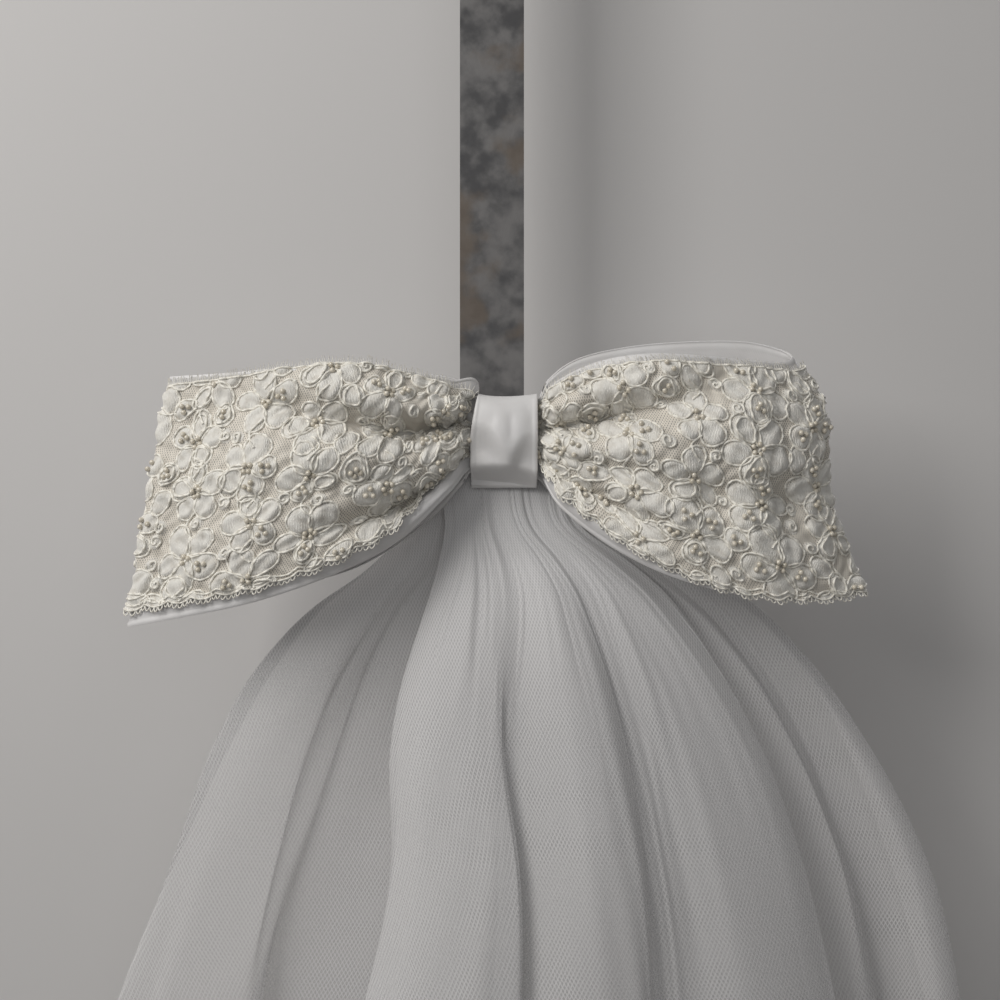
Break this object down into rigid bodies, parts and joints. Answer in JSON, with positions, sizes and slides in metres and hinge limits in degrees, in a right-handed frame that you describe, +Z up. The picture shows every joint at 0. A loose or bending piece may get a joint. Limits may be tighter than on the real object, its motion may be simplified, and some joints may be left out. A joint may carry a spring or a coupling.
{
  "type": "bridal veil with bow on over-door hanger",
  "caption": "Tiered tulle bridal veil gathered under a satin bow with beaded lace, hung by its comb from a metal over-door hanger.",
  "frame": {"origin": "middle of the underside of the hanger's top, where it rests on the door", "axes": "+X to the right as the bow is seen, -Y the way the bow faces, +Z up"},
  "size_m": [0.4581, 0.1289, 1.027],
  "materials": {
    "satin": "white satin, soft sheen",
    "lace": "ivory corded lace with seed pearls, matt",
    "tulle": "fine white net, matt",
    "comb": "plain, smooth",
    "galvanised": "mottled grey zinc, worn"
  },
  "bodies": {
    "root": {"hanger": "galvanised", "comb": "comb", "bow_loop_left": "satin", "bow_loop_right": "satin", "bow_knot": "satin", "lace_left": "lace", "lace_right": "lace", "veil_front": "tulle", "veil_back": "tulle"}
  },
  "joints": []
}
